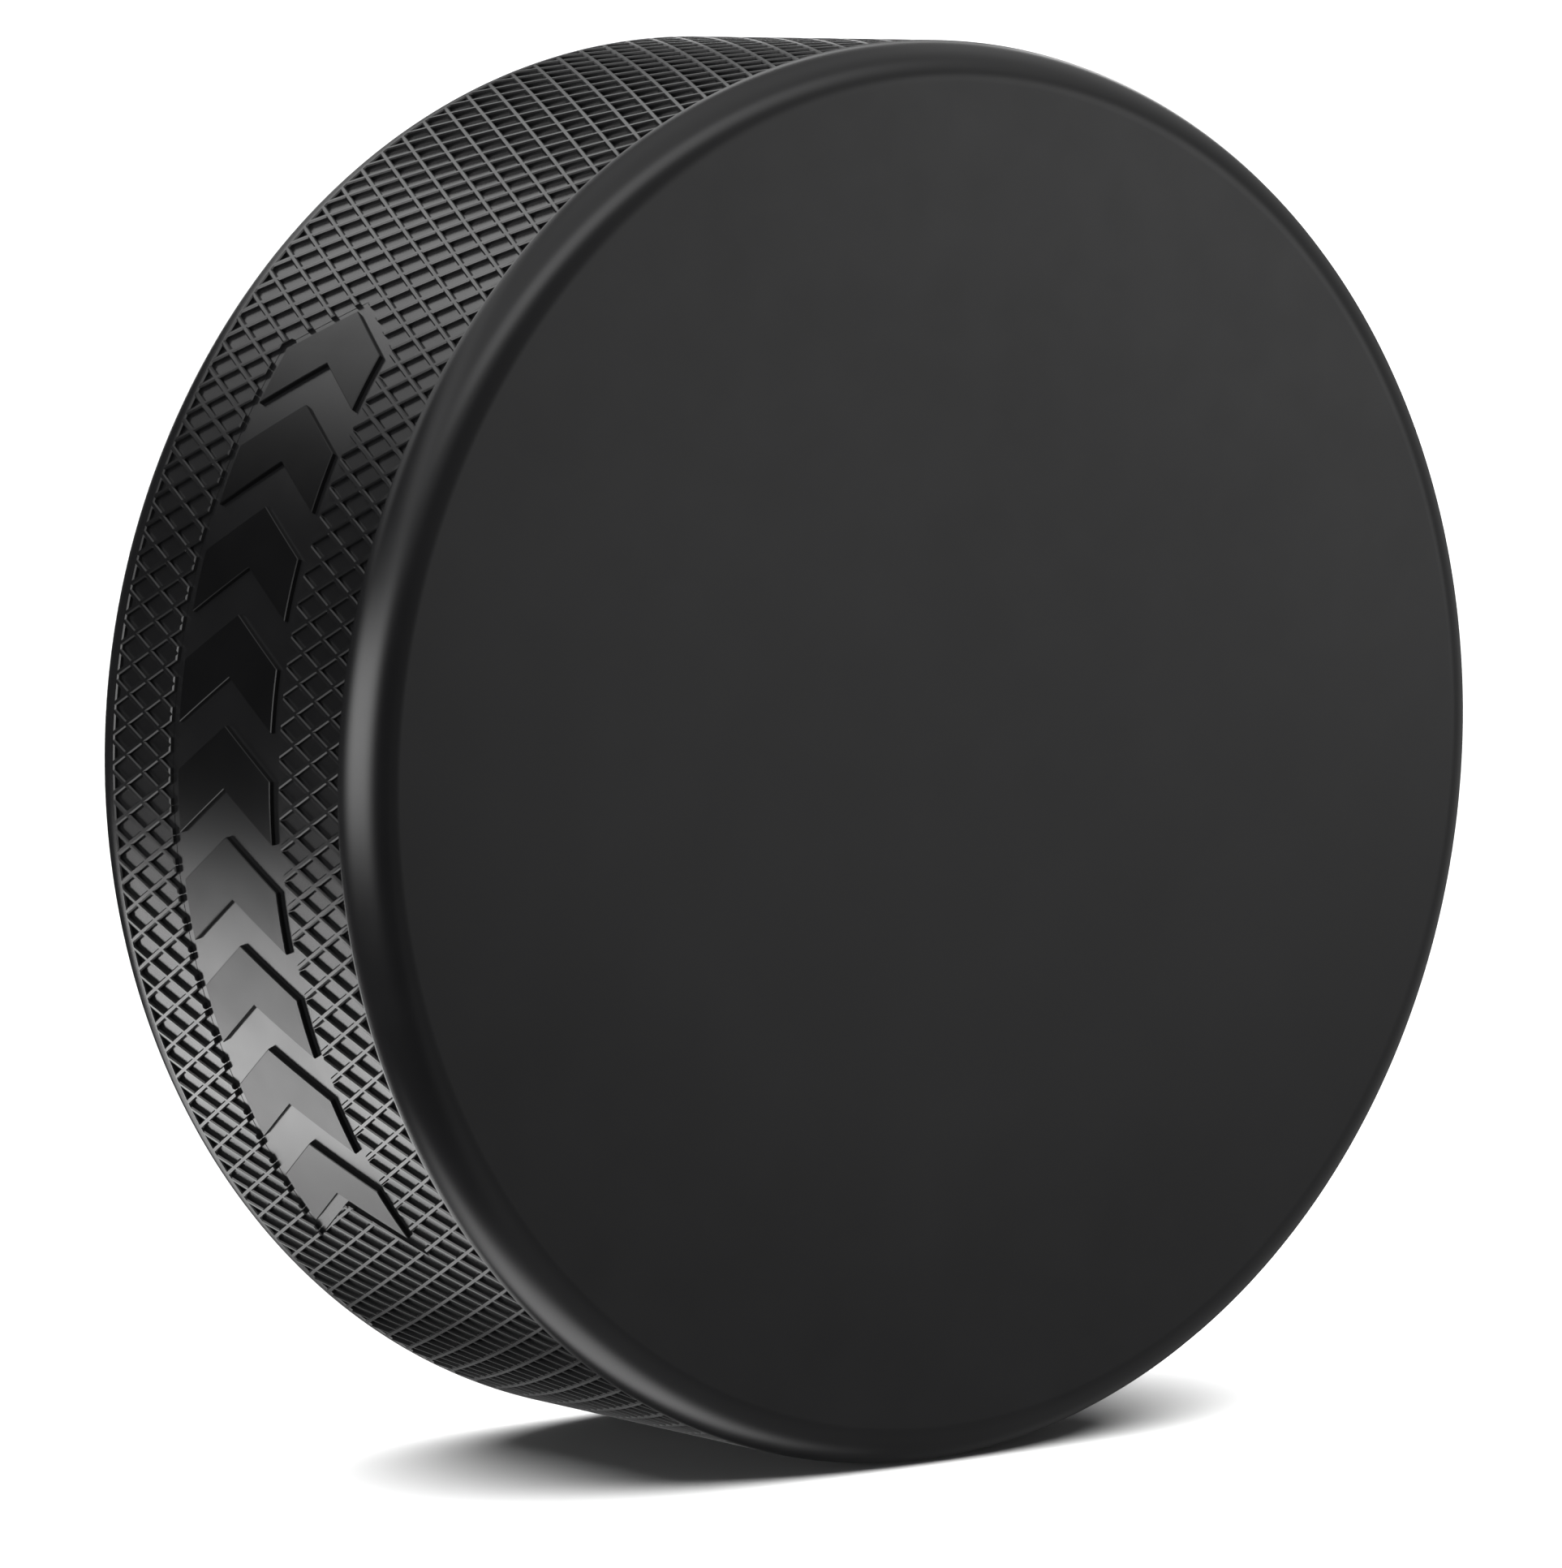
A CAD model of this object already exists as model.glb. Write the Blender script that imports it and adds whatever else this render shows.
"""Looks of the ice hockey puck: smooth caps, a knurled side band and a raised chevron emblem."""

import math

import bmesh
import bpy
from mathutils import Matrix, Vector


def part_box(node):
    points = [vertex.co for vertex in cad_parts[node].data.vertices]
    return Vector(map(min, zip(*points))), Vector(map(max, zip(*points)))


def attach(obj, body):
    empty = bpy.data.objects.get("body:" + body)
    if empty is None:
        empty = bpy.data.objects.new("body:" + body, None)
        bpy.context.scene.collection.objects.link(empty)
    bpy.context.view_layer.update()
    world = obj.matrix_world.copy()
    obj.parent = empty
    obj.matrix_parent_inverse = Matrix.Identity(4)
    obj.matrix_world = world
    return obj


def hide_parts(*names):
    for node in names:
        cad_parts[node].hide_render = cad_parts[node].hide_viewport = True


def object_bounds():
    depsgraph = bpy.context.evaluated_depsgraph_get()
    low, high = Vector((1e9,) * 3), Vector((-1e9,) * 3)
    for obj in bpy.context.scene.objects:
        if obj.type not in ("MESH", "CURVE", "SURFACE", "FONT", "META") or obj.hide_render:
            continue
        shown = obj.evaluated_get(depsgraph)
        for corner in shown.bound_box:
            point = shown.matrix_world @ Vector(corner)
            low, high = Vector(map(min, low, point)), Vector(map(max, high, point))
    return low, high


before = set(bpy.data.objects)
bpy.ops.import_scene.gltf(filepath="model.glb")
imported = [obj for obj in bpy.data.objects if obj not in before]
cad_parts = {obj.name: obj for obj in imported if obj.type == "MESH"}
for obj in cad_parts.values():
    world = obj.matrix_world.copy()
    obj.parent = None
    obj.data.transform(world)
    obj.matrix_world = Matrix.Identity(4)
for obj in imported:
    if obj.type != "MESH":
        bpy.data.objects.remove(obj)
cad_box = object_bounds()

MM = 0.001

# The disc, read from the frame
DISC_LOW, DISC_HIGH = cad_box
RADIUS = (DISC_HIGH.x - DISC_LOW.x) / 2
THICKNESS = DISC_HIGH.z - DISC_LOW.z
MID_HEIGHT = THICKNESS / 2
CAP_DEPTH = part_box("bottom_cap")[1].z
BAND_HALF = MID_HEIGHT - CAP_DEPTH
BAND_WALL = 4.0 * MM

# Rounded edge of the caps: how far it curves across the face; down the side it is CAP_DEPTH
EDGE_ACROSS = 2.2 * MM
CAP_SEGMENTS = 480
EDGE_STEPS = 18

# Diamond grip: two families of ridges that cross
RIDGES = 150
ROUND_LENGTH = math.tau * RADIUS
PITCH = ROUND_LENGTH / RIDGES
ROW = 1.54 * MM
GRIP_HALF = BAND_HALF - 0.07 * MM
GRIP_DEPTH = 0.25 * MM
EDGE_CHAMFER = 0.07 * MM
# Half section of a ridge, from its middle line: (distance to the side, depth below the crest)
RIDGE_SECTION = (
    (0.000 * MM, 0.0),
    (0.085 * MM, 0.0),
    (0.155 * MM, EDGE_CHAMFER),
    (0.162 * MM, GRIP_DEPTH),
)
# How much less a cell's outline moves in from a side at the grip's edge
LAND_INSET = 0.08 * MM

# Corners closer than this are one corner: in flat outlines, after bending and after the cut
WELD = 0.0001 * MM
MERGE = 0.001 * MM
SLIVER = 0.004 * MM

# Edges bent more than this look sharp
SHARP_ANGLE = math.radians(30)

# Emblem
CHEVRONS = sorted(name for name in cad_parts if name.startswith("emblem_chevron_"))
CHEVRON_PITCH = 5.8 * MM
CHEVRON_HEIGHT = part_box(CHEVRONS[0])[1].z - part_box(CHEVRONS[0])[0].z
CHEVRON_STROKE = 3.3 * MM
CHEVRON_POINT = 2.6 * MM
CHEVRON_BEVEL = 0.045 * MM
PANEL_MARGIN = 0.8 * MM
PANEL_DEPTH = GRIP_DEPTH + 0.02 * MM
CHEVRON_SUNK = 0.1 * MM
CUTTER_RISE = 0.5 * MM
# Longest flat stretch in a block that is bent round the disc
BEND_STEP = 0.6 * MM


# ---------------------------------------------------------------- mesh helpers


def add_mesh(name, mesh, material, slot, *nodes):
    """Adds a finished mesh as a piece that rides on the puck and stands for CAD nodes."""
    mesh.materials.clear()
    mesh.materials.append(material)
    piece = bpy.data.objects.new(name, mesh)
    bpy.context.scene.collection.objects.link(piece)
    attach(piece, "root")
    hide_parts(*nodes)
    return piece


def to_mesh(bm, name):
    """Turns a closed bmesh into a smooth-shaded mesh whose faces point out."""
    bmesh.ops.recalc_face_normals(bm, faces=bm.faces[:])
    # On long thin blocks that can come out with every face turned inwards.
    if bm.calc_volume(signed=True) < 0.0:
        bmesh.ops.reverse_faces(bm, faces=bm.faces[:])
    mesh = bpy.data.meshes.new(name)
    bm.to_mesh(mesh)
    bm.free()
    mesh.shade_smooth()
    mesh.set_sharp_from_angle(angle=SHARP_ANGLE)
    return mesh


def wrap(bm):
    """Bends a flat (along, up, depth) mesh round the side of the disc, emblem side to -Y."""
    for vert in bm.verts:
        along, up, depth = vert.co
        angle = along / RADIUS
        radius = RADIUS - depth
        vert.co = (radius * math.sin(angle), -radius * math.cos(angle), MID_HEIGHT + up)


# ---------------------------------------------------------------- caps


def cap_mesh(name):
    """The lower cap: a flat face with a rounded edge, turned round the Z axis."""
    section = [(0.0, CAP_DEPTH), (0.0, 0.0), (RADIUS / 2, 0.0)]
    for step in range(EDGE_STEPS + 1):
        angle = math.pi / 2 * step / EDGE_STEPS
        out = RADIUS - EDGE_ACROSS * (1 - math.sin(angle))
        section.append((out, CAP_DEPTH * (1 - math.cos(angle))))
    bm = bmesh.new()
    rings = []
    for out, height in section:
        if out == 0.0:
            rings.append([bm.verts.new((0.0, 0.0, height))])
            continue
        turns = [math.tau * index / CAP_SEGMENTS for index in range(CAP_SEGMENTS)]
        rings.append([bm.verts.new((out * math.sin(a), -out * math.cos(a), height)) for a in turns])
    for first, second in zip(rings, rings[1:] + rings[:1]):
        for index in range(CAP_SEGMENTS):
            after = (index + 1) % CAP_SEGMENTS
            corners = []
            for ring, order in ((first, (index, after)), (second, (after, index))):
                corners += [ring[0]] if len(ring) == 1 else [ring[i] for i in order]
            if len(corners) > 2:
                bm.faces.new(corners)
    return to_mesh(bm, name)


# ---------------------------------------------------------------- grip


def clipped_cell(middle, row):
    """Corners (along, up, is_cut) of one diamond cell, cut off at the grip's edges.

    is_cut marks a corner whose next side is such a cut.
    """
    diamond = [
        (middle - PITCH / 2, row),
        (middle, row - ROW),
        (middle + PITCH / 2, row),
        (middle, row + ROW),
    ]
    corners = [(along, up, False) for along, up in diamond]
    for sign in (1, -1):
        kept = []
        for here, following in zip(corners, corners[1:] + corners[:1]):
            inside = sign * here[1] <= GRIP_HALF
            inside_next = sign * following[1] <= GRIP_HALF
            if inside:
                kept.append(here)
            if inside != inside_next:
                share = (sign * GRIP_HALF - here[1]) / (following[1] - here[1])
                along = here[0] + share * (following[0] - here[0])
                # Where the outline leaves the grip, the next side is the cut itself.
                kept.append((along, sign * GRIP_HALF, True if inside else here[2]))
        corners = kept
    return corners


def inset(corners, distance):
    """The cell's outline moved inwards, less far from a side that is a cut."""
    count = len(corners)
    lines = []
    for index, (along, up, is_cut) in enumerate(corners):
        following = corners[(index + 1) % count]
        side = Vector((following[0] - along, following[1] - up)).normalized()
        inward = Vector((-side.y, side.x))
        move = max(distance - LAND_INSET, 0.0) if is_cut else distance
        lines.append((Vector((along, up)) + inward * move, side))
    moved = []
    for index in range(count):
        (point, side), (before, before_side) = lines[index], lines[index - 1]
        turn = before_side.x * side.y - before_side.y * side.x
        gap = point - before
        reach = (gap.x * side.y - gap.y * side.x) / turn
        moved.append(before + before_side * reach)
    return moved


def shared_vertices(bm):
    """A function that gives the vertex at a place of the unrolled band, the same one each time."""
    known = {}
    seam = round(ROUND_LENGTH / WELD)

    def vertex(along, up, depth):
        along %= ROUND_LENGTH
        key = tuple(round(value / WELD) for value in (along, up, depth))
        if key[0] == seam:
            key = (0, key[1], key[2])
            along = 0.0
        if key not in known:
            known[key] = bm.verts.new((along, up, depth))
        return known[key]

    return vertex


def add_cell(bm, vertex, corners):
    """One cell: the half ridges round it, stepping inwards and down, and its floor."""
    loops = []
    for distance, depth in RIDGE_SECTION:
        loops.append([vertex(along, up, depth) for along, up in inset(corners, distance)])
    for outer, inner in zip(loops, loops[1:]):
        for here in range(len(outer)):
            following = (here + 1) % len(outer)
            bm.faces.new([outer[here], outer[following], inner[following], inner[here]])
    bm.faces.new(loops[-1])


def grip_band():
    """A closed ring with a ridged outer side, a plain inner side and narrow flat lands."""
    bm = bmesh.new()
    vertex = shared_vertices(bm)
    edge_stops = set()
    last_row = math.ceil(GRIP_HALF / ROW)
    for row in range(-last_row, last_row + 1):
        for index in range(RIDGES):
            # Every other row is half a pitch further round.
            corners = clipped_cell((index + (row % 2) / 2) * PITCH, row * ROW)
            add_cell(bm, vertex, corners)
            if row == last_row:
                edge_stops |= {c[0] % ROUND_LENGTH for c in corners if c[1] >= GRIP_HALF - WELD}

    stops = sorted(edge_stops)
    # From the top land over the inner side to the bottom land: (up, depth)
    section = (
        (GRIP_HALF, 0.0),
        (BAND_HALF, 0.0),
        (BAND_HALF, BAND_WALL),
        (-BAND_HALF, BAND_WALL),
        (-BAND_HALF, 0.0),
        (-GRIP_HALF, 0.0),
    )
    for (up, depth), (next_up, next_depth) in zip(section, section[1:]):
        for here, following in zip(stops, stops[1:] + stops[:1]):
            bm.faces.new(
                [
                    vertex(here, up, depth),
                    vertex(following, up, depth),
                    vertex(following, next_up, next_depth),
                    vertex(here, next_up, next_depth),
                ]
            )
    return bm


# ---------------------------------------------------------------- emblem


def chevron_outline(centre, margin=0.0, reach=0.0):
    """A chevron that points along -X, grown by margin and drawn out by reach."""
    half_height = CHEVRON_HEIGHT / 2 + margin
    half_stroke = CHEVRON_STROKE / 2 + margin + reach
    tip = centre - CHEVRON_POINT / 2
    tail = tip + CHEVRON_POINT * half_height / (CHEVRON_HEIGHT / 2)
    return [
        (tip - half_stroke, 0.0),
        (tail - half_stroke, -half_height),
        (tail + half_stroke, -half_height),
        (tip + half_stroke, 0.0),
        (tail + half_stroke, half_height),
        (tail - half_stroke, half_height),
    ]


def layered_block(layers):
    """A block through outlines of equal count, each (outline, depth), cut so that it can bend."""
    bm = bmesh.new()
    loops = [[bm.verts.new((x, y, depth)) for x, y in outline] for outline, depth in layers]
    count = len(loops[0])
    for upper, lower in zip(loops, loops[1:]):
        for here in range(count):
            following = (here + 1) % count
            bm.faces.new([upper[here], upper[following], lower[following], lower[here]])
    bm.faces.new(loops[0])
    bm.faces.new(loops[-1])
    reach = [vert.co.x for vert in bm.verts]
    first = math.ceil(min(reach) / BEND_STEP)
    last = math.floor(max(reach) / BEND_STEP)
    for line in range(first, last + 1):
        bmesh.ops.bisect_plane(
            bm,
            geom=bm.verts[:] + bm.edges[:] + bm.faces[:],
            plane_co=(line * BEND_STEP, 0.0, 0.0),
            plane_no=(1.0, 0.0, 0.0),
            dist=WELD,
        )
    return bm


def panel_cutter_mesh():
    """The block that cuts the emblem's panel, down to just below the floor of the grip."""
    row_half = (len(CHEVRONS) - 1) * CHEVRON_PITCH / 2
    # The cut runs out at 45 degrees, which chamfers the ends of the ridges.
    layers = [(CUTTER_RISE + EDGE_CHAMFER, -CUTTER_RISE), (0.0, EDGE_CHAMFER), (0.0, PANEL_DEPTH)]
    bm = layered_block(
        [(chevron_outline(0.0, PANEL_MARGIN + grown, row_half), depth) for grown, depth in layers]
    )
    wrap(bm)
    return to_mesh(bm, "panel_cutter")


def cut_away(mesh, cutter_mesh):
    """The first mesh without what the second covers, as a bmesh."""
    helpers = []
    for part in (mesh, cutter_mesh):
        helpers.append(bpy.data.objects.new(part.name, part))
        bpy.context.scene.collection.objects.link(helpers[-1])
    cut = helpers[0].modifiers.new("cut", "BOOLEAN")
    cut.operation = "DIFFERENCE"
    cut.object = helpers[1]
    graph = bpy.context.evaluated_depsgraph_get()
    bm = bmesh.new()
    bm.from_mesh(bpy.data.meshes.new_from_object(helpers[0].evaluated_get(graph)))
    for helper in helpers:
        bpy.data.objects.remove(helper)
    return bm


def side_band_mesh():
    """The grip band with the emblem's panel cut into it."""
    band = grip_band()
    wrap(band)
    bmesh.ops.remove_doubles(band, verts=band.verts[:], dist=MERGE)
    bm = cut_away(to_mesh(band, "whole_band"), panel_cutter_mesh())
    # The cut leaves slivers along its rim; without them the triangles close up exactly.
    bmesh.ops.remove_doubles(bm, verts=bm.verts[:], dist=SLIVER)
    bmesh.ops.dissolve_degenerate(bm, edges=bm.edges[:], dist=SLIVER)
    bmesh.ops.triangulate(bm, faces=bm.faces[:])
    return to_mesh(bm, "side_band_skin")


def chevron_mesh(index):
    """One raised chevron with a small bevel, which starts inside the band."""
    centre = (index - (len(CHEVRONS) - 1) / 2) * CHEVRON_PITCH
    layers = [(-CHEVRON_BEVEL, 0.0), (0.0, CHEVRON_BEVEL), (0.0, PANEL_DEPTH + CHEVRON_SUNK)]
    bm = layered_block([(chevron_outline(centre, grown), depth) for grown, depth in layers])
    wrap(bm)
    return to_mesh(bm, CHEVRONS[index] + "_skin")


# ---------------------------------------------------------------- node helpers

# The part of a noise's range that is mapped, from low to high
NOISE_MIDDLE = (0.3, 0.7)
# Sockets of a Mix node set to colours, and of one set to numbers
COLOUR_A, COLOUR_B, COLOUR_OUT = 6, 7, 2
NUMBER_FACTOR, NUMBER_A, NUMBER_B, NUMBER_OUT = 0, 2, 3, 0


def link_or_set(tree, socket, value):
    if isinstance(value, bpy.types.NodeSocket):
        tree.links.new(value, socket)
    else:
        socket.default_value = value


def math_node(tree, operation, *values):
    node = tree.nodes.new("ShaderNodeMath")
    node.operation = operation
    for socket, value in zip(node.inputs, values):
        link_or_set(tree, socket, value)
    return node.outputs[0]


def dot_node(tree, first, second):
    node = tree.nodes.new("ShaderNodeVectorMath")
    node.operation = "DOT_PRODUCT"
    link_or_set(tree, node.inputs[0], first)
    link_or_set(tree, node.inputs[1], second)
    return node.outputs["Value"]


def noise_node(tree, place, size, detail):
    """Noise whose blobs are about `size` metres across."""
    node = tree.nodes.new("ShaderNodeTexNoise")
    tree.links.new(place, node.inputs["Vector"])
    node.inputs["Scale"].default_value = 1.0 / size
    node.inputs["Detail"].default_value = detail
    return node.outputs["Fac"]


def spread_node(tree, value, low, high):
    """Maps the middle of a noise's range onto low to high."""
    node = tree.nodes.new("ShaderNodeMapRange")
    tree.links.new(value, node.inputs["Value"])
    node.inputs["From Min"].default_value = NOISE_MIDDLE[0]
    node.inputs["From Max"].default_value = NOISE_MIDDLE[1]
    node.inputs["To Min"].default_value = low
    node.inputs["To Max"].default_value = high
    return node.outputs["Result"]


# ---------------------------------------------------------------- materials

# (size, detail) of the noises in tone and in gloss
CLOUDS = (9.0 * MM, 3.0)
SMEARS = (3.0 * MM, 4.0)
GRAIN_DETAIL = 2.0
COOL_TINT = 1.06
RUBBER_IOR = 1.5

# (lower, upper) roughness and (size, height) of the mould's texture
SKIN_GLOSS = (0.235, 0.265)
SKIN_GRAIN = (0.25 * MM, 0.0002 * MM)
CORE_GLOSS = (0.45, 0.6)
CORE_GRAIN = (0.4 * MM, 0.01 * MM)


def rubber(name, shade, gloss, grain, shine):
    """Black moulded rubber: cloudy in tone and gloss, with a fine grain from the mould.

    shade is the (darker, lighter) grey, gloss the (lower, upper) roughness, grain the
    (size, height) of the mould's texture and shine the specular level.
    """
    material = bpy.data.materials.new(name)
    material.use_nodes = True
    tree = material.node_tree
    shader = tree.nodes["Principled BSDF"]
    place = tree.nodes.new("ShaderNodeTexCoord").outputs["Object"]

    clouds = noise_node(tree, place, *CLOUDS)
    tone = tree.nodes.new("ShaderNodeMix")
    tone.data_type = "RGBA"
    tree.links.new(spread_node(tree, clouds, 0.0, 1.0), tone.inputs["Factor"])
    for index, grey in zip((COLOUR_A, COLOUR_B), shade):
        tone.inputs[index].default_value = (grey, grey, grey * COOL_TINT, 1.0)
    tree.links.new(tone.outputs[COLOUR_OUT], shader.inputs["Base Color"])

    smears = noise_node(tree, place, *SMEARS)
    tree.links.new(spread_node(tree, smears, *gloss), shader.inputs["Roughness"])

    bump = tree.nodes.new("ShaderNodeBump")
    tree.links.new(noise_node(tree, place, grain[0], GRAIN_DETAIL), bump.inputs["Height"])
    bump.inputs["Strength"].default_value = 1.0
    bump.inputs["Distance"].default_value = grain[1]
    tree.links.new(bump.outputs["Normal"], shader.inputs["Normal"])

    shader.inputs["IOR"].default_value = RUBBER_IOR
    shader.inputs["Specular IOR Level"].default_value = shine
    return material


# ---------------------------------------------------------------- build

face_rubber = rubber("face_rubber", (0.011, 0.014), SKIN_GLOSS, SKIN_GRAIN, 0.5)
band_rubber = rubber("band_rubber", (0.008, 0.010), SKIN_GLOSS, SKIN_GRAIN, 0.7)
emblem_rubber = rubber("emblem_rubber", (0.004, 0.006), SKIN_GLOSS, SKIN_GRAIN, 0.34)
core_rubber = rubber("core_rubber", (0.014, 0.020), CORE_GLOSS, CORE_GRAIN, 0.5)

bottom = cap_mesh("bottom_cap_skin")
top = cap_mesh("top_cap_skin")
top.transform(Matrix.Translation((0.0, 0.0, THICKNESS)) @ Matrix.Rotation(math.pi, 4, "X"))
add_mesh("bottom_cap_skin", bottom, face_rubber, "face_rubber", "bottom_cap")
add_mesh("top_cap_skin", top, face_rubber, "face_rubber", "top_cap")
add_mesh("side_band_skin", side_band_mesh(), band_rubber, "band_rubber", "side_band")
for index, node in enumerate(CHEVRONS):
    add_mesh(node + "_skin", chevron_mesh(index), emblem_rubber, "emblem_rubber", node)
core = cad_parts["core_slug"]
core.data.materials.clear()
core.data.materials.append(core_rubber)

# ---------------------------------------------------------------- camera

# The picture stands the disc on its edge: its floor touches the side at +X, its up is -X.
PICTURE_UP = Vector((-1.0, 0.0, 0.0))
LENS = 197.4
SENSOR_WIDTH = 36.0
CLIP_START, CLIP_END = 0.01, 20.0
CAMERA_DISTANCE = 467.9 * MM
CAMERA_TURN = math.radians(37.84)
CAMERA_LIFT = math.radians(5.62)
AIM_LEFT = 1.23 * MM
AIM_DOWN = 2.36 * MM

centre = Vector((0.0, 0.0, MID_HEIGHT))
# Level directions of the picture: towards the camera, and to the picture's right
FRONT = Vector((0.0, -math.sin(CAMERA_TURN), math.cos(CAMERA_TURN)))
RIGHT = PICTURE_UP.cross(FRONT)
back = FRONT * math.cos(CAMERA_LIFT) + PICTURE_UP * math.sin(CAMERA_LIFT)
up = back.cross(RIGHT)
camera_data = bpy.data.cameras.new("camera")
camera = bpy.data.objects.new("camera", camera_data)
bpy.context.scene.collection.objects.link(camera)
camera_data.lens = LENS
camera_data.sensor_width = SENSOR_WIDTH
camera_data.clip_start = CLIP_START
camera_data.clip_end = CLIP_END
camera_place = centre + back * CAMERA_DISTANCE - RIGHT * AIM_LEFT - up * AIM_DOWN
camera_turn = Matrix((RIGHT, up, back)).transposed().to_4x4()
camera.matrix_world = Matrix.Translation(camera_place) @ camera_turn
bpy.context.scene.camera = camera

# ---------------------------------------------------------------- light

# Soft boxes round the disc, seen as the picture stands it. Each has the degrees it is turned
# from the camera round to the right, its degrees above the picture's floor, its half width and
# half height in degrees, its brightness, and the degrees its right end is tipped up.
# These numbers weren't chosen by hand: another program fitted them, by least squares, to the
# brightness of the picture's reflections, and they are its output, rounded.
SOFTBOXES = (
    (-44, 3, 33, 14, 4.5, 0),
    (-121, -27, 4, 15, 6.6, -33),
    (-142, -32, 10, 10, 1.7, -21),
    (-93, 50, 62, 7, 0.6, 5),
    (50, -52, 21, 42, 0.27, -8),
    (-88, -82, 19, 29, 2.45, 15),
    (35, 52, 32, 11, 1.63, 0),
    (-144, 35, 46, 5, 1.32, 2),
    (82, 5, 13, 11, 1.1, 0),
    (125, 41, 71, 15, 0.29, -2),
    (-12, 77, 38, 53, 0.66, 4),
    (116, 4, 44, 53, 0.29, 8),
    (169, 13, 4, 8, 2.2, 7),
    (-174, 4, 11, 4, 2.9, 3),
    (-167, -21, 8, 8, 0.32, 0),
)
# The higher, the harder the edge of a box
BOX_EDGE = 4.0
ROOM_GLOW = 0.002
LIGHT_MAP_SIZE = 1024


def picture_axes(turn, lift, tip):
    """(centre, right, up) directions of a soft box at that turn, lift and tip."""
    turn, lift, tip = math.radians(turn), math.radians(lift), math.radians(tip)
    level = FRONT * math.cos(turn) + RIGHT * math.sin(turn)
    middle = level * math.cos(lift) + PICTURE_UP * math.sin(lift)
    right = RIGHT * math.cos(turn) - FRONT * math.sin(turn)
    up = PICTURE_UP * math.cos(lift) - level * math.sin(lift)
    return (
        middle,
        right * math.cos(tip) + up * math.sin(tip),
        up * math.cos(tip) - right * math.sin(tip),
    )


def softbox_glow(tree, direction, turn, lift, half_width, half_height, strength, tip):
    """Brightness of one soft-edged box in a direction of the world."""
    middle, right, up = picture_axes(turn, lift, tip)
    ahead = dot_node(tree, direction, middle)
    across = math_node(tree, "ARCTAN2", dot_node(tree, direction, right), ahead)
    rise = math_node(tree, "ARCSINE", dot_node(tree, direction, up))
    total = 0.0
    for angle, half in ((across, half_width), (rise, half_height)):
        share = math_node(tree, "DIVIDE", math_node(tree, "ABSOLUTE", angle), math.radians(half))
        total = math_node(tree, "ADD", math_node(tree, "POWER", share, BOX_EDGE), total)
    fade = math_node(tree, "EXPONENT", math_node(tree, "MULTIPLY", total, -1.0))
    return math_node(tree, "MULTIPLY", fade, strength)


def light_room():
    """Soft boxes light the disc; the camera itself sees plain white."""
    world = bpy.data.worlds.new("studio")
    bpy.context.scene.world = world
    world.use_nodes = True
    tree = world.node_tree
    background = tree.nodes["Background"]
    direction = tree.nodes.new("ShaderNodeTexCoord").outputs["Generated"]
    glow = ROOM_GLOW
    for box in SOFTBOXES:
        glow = math_node(tree, "ADD", softbox_glow(tree, direction, *box), glow)
    seen = tree.nodes.new("ShaderNodeLightPath").outputs["Is Camera Ray"]
    shown = tree.nodes.new("ShaderNodeMix")
    tree.links.new(seen, shown.inputs[NUMBER_FACTOR])
    tree.links.new(glow, shown.inputs[NUMBER_A])
    shown.inputs[NUMBER_B].default_value = 1.0
    tree.links.new(shown.outputs[NUMBER_OUT], background.inputs["Strength"])
    background.inputs["Color"].default_value = (1.0, 1.0, 1.0, 1.0)
    world.cycles.sampling_method = "MANUAL"
    world.cycles.sample_map_resolution = LIGHT_MAP_SIZE


# ---------------------------------------------------------------- stage

# The disc lies on a pale floor. The picture has it standing on its edge with a soft shadow
# below, so a second sheet touches the side at +X; it is seen from its lit side only and its
# borders fade out. Each sheet has a sun of its own that lights nothing else.
FLOOR_HALF = 4000.0 * MM
SHEET_GAP = 0.02 * MM
FLOOR_GREY = (0.78, 0.82)
# Width in degrees and strength of each sheet's sun
FLOOR_SUN = (9.0, 5.5)
SHADOW_HALF = 48.0 * MM
SHADOW_TOP = 48.0 * MM
SHADOW_FADE = 12.0 * MM
SHADOW_GREY = (0.29, 0.31)
SHADOW_SUN = (100.0, 27.0)
MOTTLE = (40.0 * MM, 3.0)


def floor_paint(name, greys):
    """Matt paint, faintly mottled. Returns its material, its shader and its place socket."""
    material = bpy.data.materials.new(name)
    material.use_nodes = True
    tree = material.node_tree
    shader = tree.nodes["Principled BSDF"]
    place = tree.nodes.new("ShaderNodeTexCoord").outputs["Object"]
    mottle = noise_node(tree, place, *MOTTLE)
    tree.links.new(spread_node(tree, mottle, *greys), shader.inputs["Base Color"])
    shader.inputs["Roughness"].default_value = 1.0
    shader.inputs["Specular IOR Level"].default_value = 0.0
    return material, shader, place


def ramp_node(tree, value, reach):
    """0 at the border of the sheet, 1 from SHADOW_FADE inside it."""
    left = math_node(tree, "SUBTRACT", reach, math_node(tree, "ABSOLUTE", value))
    ramp = tree.nodes.new("ShaderNodeMapRange")
    ramp.interpolation_type = "SMOOTHSTEP"
    tree.links.new(left, ramp.inputs["Value"])
    ramp.inputs["From Max"].default_value = SHADOW_FADE
    return ramp.outputs["Result"]


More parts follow.
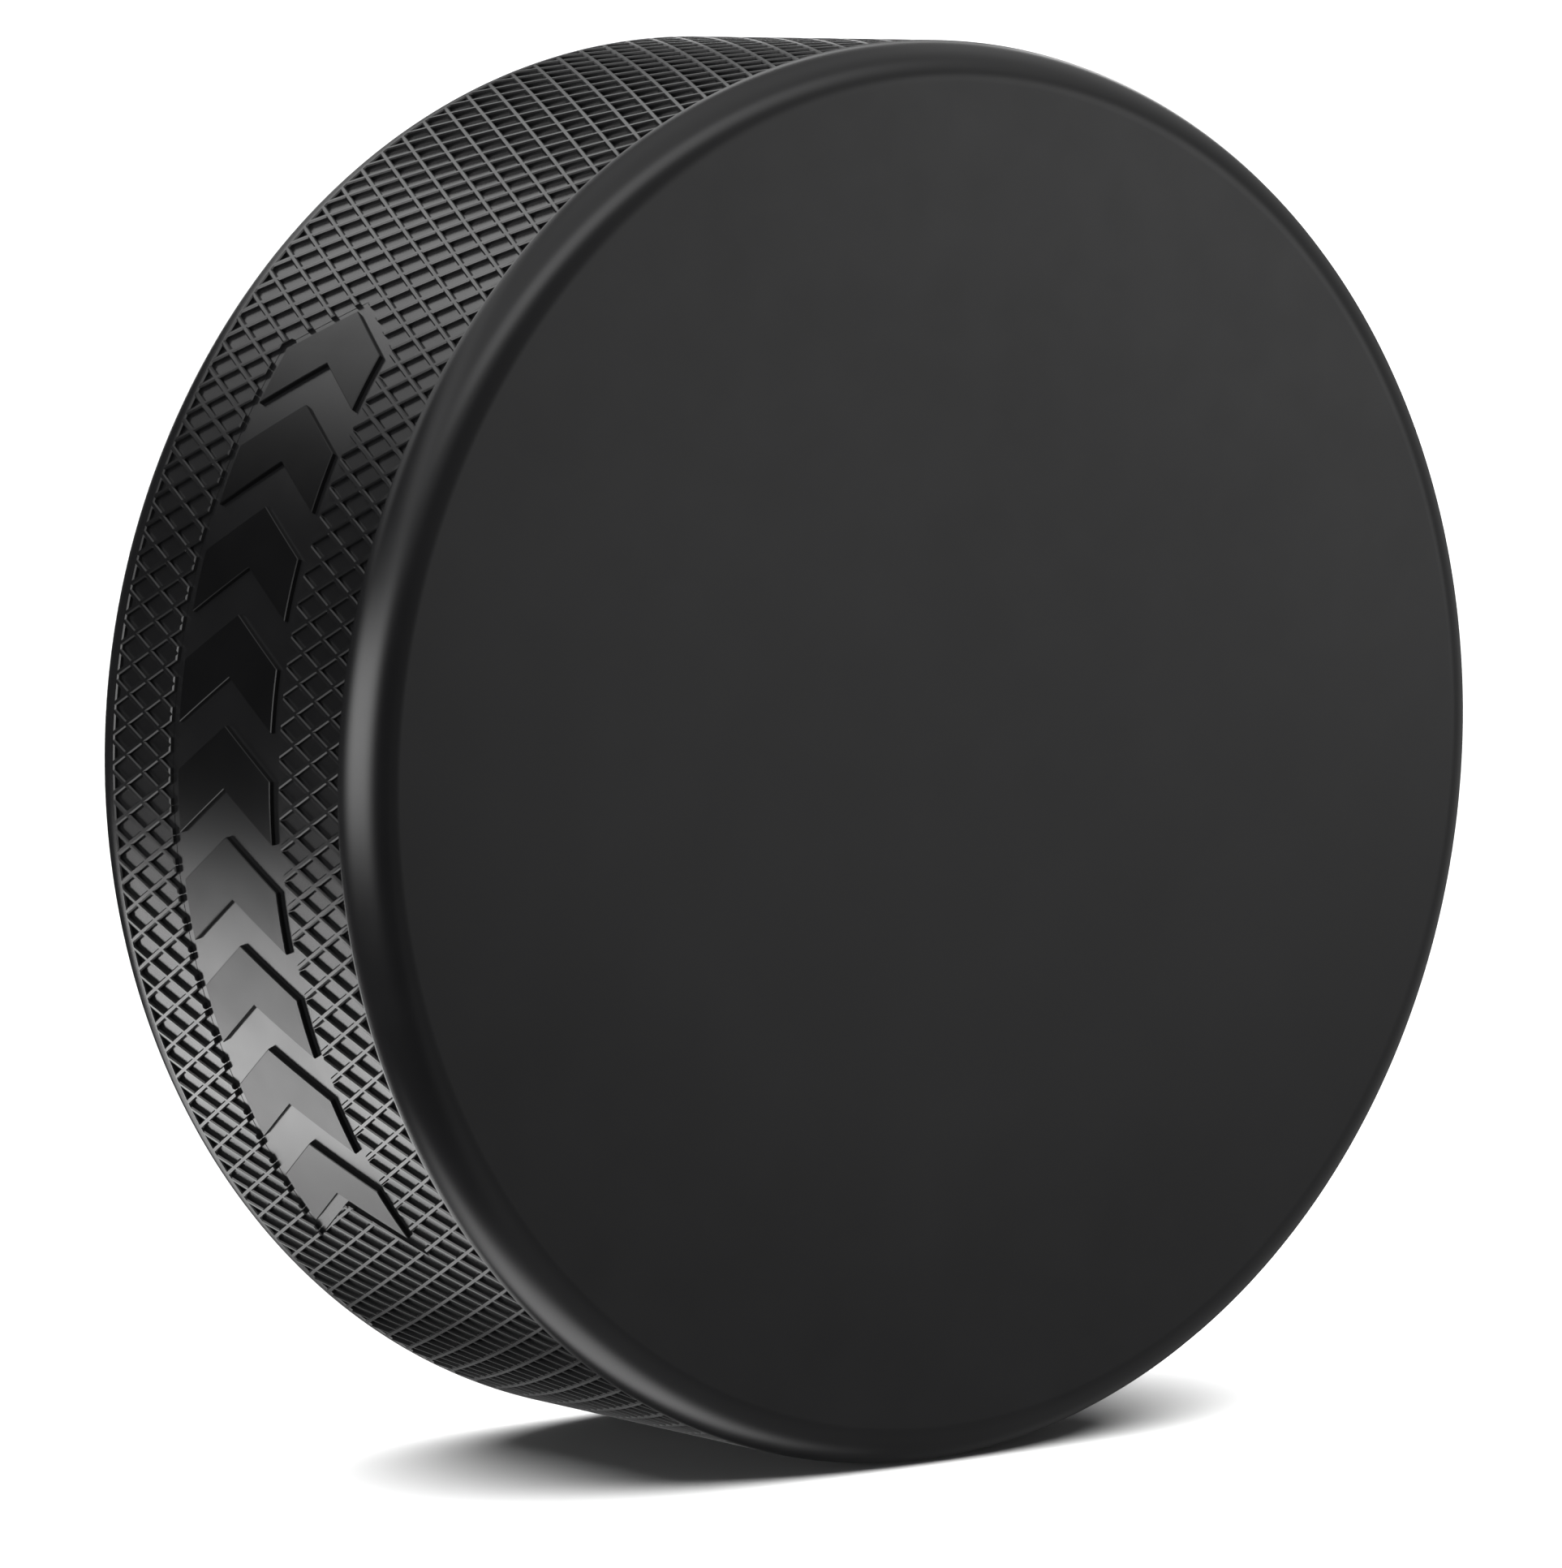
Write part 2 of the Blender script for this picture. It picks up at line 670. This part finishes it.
def shadow_paint():
    """Floor paint that is clear from behind and towards its borders."""
    material, shader, place = floor_paint("shadow_paint", SHADOW_GREY)
    tree = material.node_tree
    split = tree.nodes.new("ShaderNodeSeparateXYZ")
    tree.links.new(place, split.inputs[0])
    across = ramp_node(tree, split.outputs["Y"], SHADOW_HALF)
    along = ramp_node(tree, split.outputs["Z"], SHADOW_TOP)
    behind = tree.nodes.new("ShaderNodeNewGeometry").outputs["Backfacing"]
    lit = math_node(tree, "SUBTRACT", 1.0, behind)
    solid = math_node(tree, "MULTIPLY", math_node(tree, "MULTIPLY", across, along), lit)
    tree.links.new(solid, shader.inputs["Alpha"])
    return material


def stage_sheet(name, corners, material, towards, sun):
    """A flat sheet that the disc neither mirrors nor is shaded by, and the sun that lights it."""
    mesh = bpy.data.meshes.new(name)
    mesh.from_pydata(corners, [], [(0, 1, 2, 3)])
    mesh.materials.append(material)
    sheet = bpy.data.objects.new(name, mesh)
    bpy.context.scene.collection.objects.link(sheet)
    sheet.visible_diffuse = False
    sheet.visible_glossy = False
    sheet.visible_shadow = False
    light = bpy.data.lights.new(name + "_sun", "SUN")
    width, light.energy = sun
    light.angle = math.radians(width)
    lamp = bpy.data.objects.new(name + "_sun", light)
    lamp.rotation_euler = towards.to_track_quat("Z", "Y").to_euler()
    bpy.context.scene.collection.objects.link(lamp)
    target = bpy.data.collections.new(name + "_only")
    target.objects.link(sheet)
    lamp.light_linking.receiver_collection = target


floor_corners = [
    (-FLOOR_HALF, -FLOOR_HALF, -SHEET_GAP),
    (FLOOR_HALF, -FLOOR_HALF, -SHEET_GAP),
    (FLOOR_HALF, FLOOR_HALF, -SHEET_GAP),
    (-FLOOR_HALF, FLOOR_HALF, -SHEET_GAP),
]
side_x = RADIUS + SHEET_GAP
shadow_corners = [
    (side_x, -SHADOW_HALF, 0.0),
    (side_x, -SHADOW_HALF, SHADOW_TOP),
    (side_x, SHADOW_HALF, SHADOW_TOP),
    (side_x, SHADOW_HALF, 0.0),
]
# The floor's sun shines from the camera, so that its shadow hides behind the disc.
stage_sheet("floor", floor_corners, floor_paint("floor_paint", FLOOR_GREY)[0], back, FLOOR_SUN)
stage_sheet("shadow_floor", shadow_corners, shadow_paint(), PICTURE_UP, SHADOW_SUN)

light_room()
bpy.context.scene.view_settings.view_transform = "Standard"
